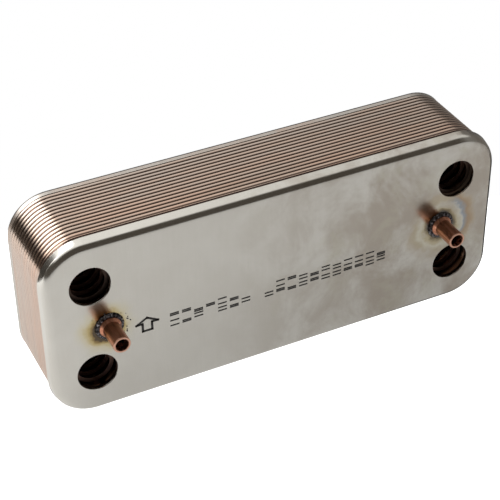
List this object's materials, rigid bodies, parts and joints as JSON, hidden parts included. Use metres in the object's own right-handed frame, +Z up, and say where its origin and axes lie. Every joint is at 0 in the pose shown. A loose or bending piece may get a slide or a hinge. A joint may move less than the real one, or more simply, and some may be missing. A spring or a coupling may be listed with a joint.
{
  "type": "plate heat exchanger",
  "caption": "Brazed plate heat exchanger: nested stainless plates between a ported front cover and a blind back cover, with two fixing sleeves.",
  "frame": {"origin": "centre of the flat front face of the cover", "axes": "+X along the length, +Z up when the part stands on its long side, -Y the way the four ports face, +Y into the depth of the stack"},
  "size_m": [0.1904, 0.0521, 0.0776],
  "materials": {
    "cover_steel": "satin cold-rolled stainless steel with heat tint near the welds",
    "plate_steel": "stainless steel with a thin copper bloom from the brazing furnace",
    "braze_copper": "dull dark copper braze",
    "sleeve_copper": "copper-coated steel sleeve, satin, tarnished",
    "weld_metal": "lumpy oxidised weld bead"
  },
  "bodies": {
    "root": {"front_cover_plate": "cover_steel", "channel_plate_01": "plate_steel", "channel_plate_02": "plate_steel", "channel_plate_03": "plate_steel", "channel_plate_04": "plate_steel", "channel_plate_05": "plate_steel", "channel_plate_06": "plate_steel", "channel_plate_07": "plate_steel", "channel_plate_08": "plate_steel", "channel_plate_09": "plate_steel", "channel_plate_10": "plate_steel", "channel_plate_11": "plate_steel", "channel_plate_12": "plate_steel", "channel_plate_13": "plate_steel", "channel_plate_14": "plate_steel", "back_cover_plate": "cover_steel", "braze_seam_01": "braze_copper", "braze_seam_02": "braze_copper", "braze_seam_03": "braze_copper", "braze_seam_04": "braze_copper", "braze_seam_05": "braze_copper", "braze_seam_06": "braze_copper", "braze_seam_07": "braze_copper", "braze_seam_08": "braze_copper", "braze_seam_09": "braze_copper", "braze_seam_10": "braze_copper", "braze_seam_11": "braze_copper", "braze_seam_12": "braze_copper", "braze_seam_13": "braze_copper", "braze_seam_14": "braze_copper", "braze_seam_15": "braze_copper", "fixing_sleeve_left": "sleeve_copper", "fixing_sleeve_right": "sleeve_copper", "weld_bead_left": "weld_metal", "weld_bead_right": "weld_metal"}
  },
  "joints": []
}
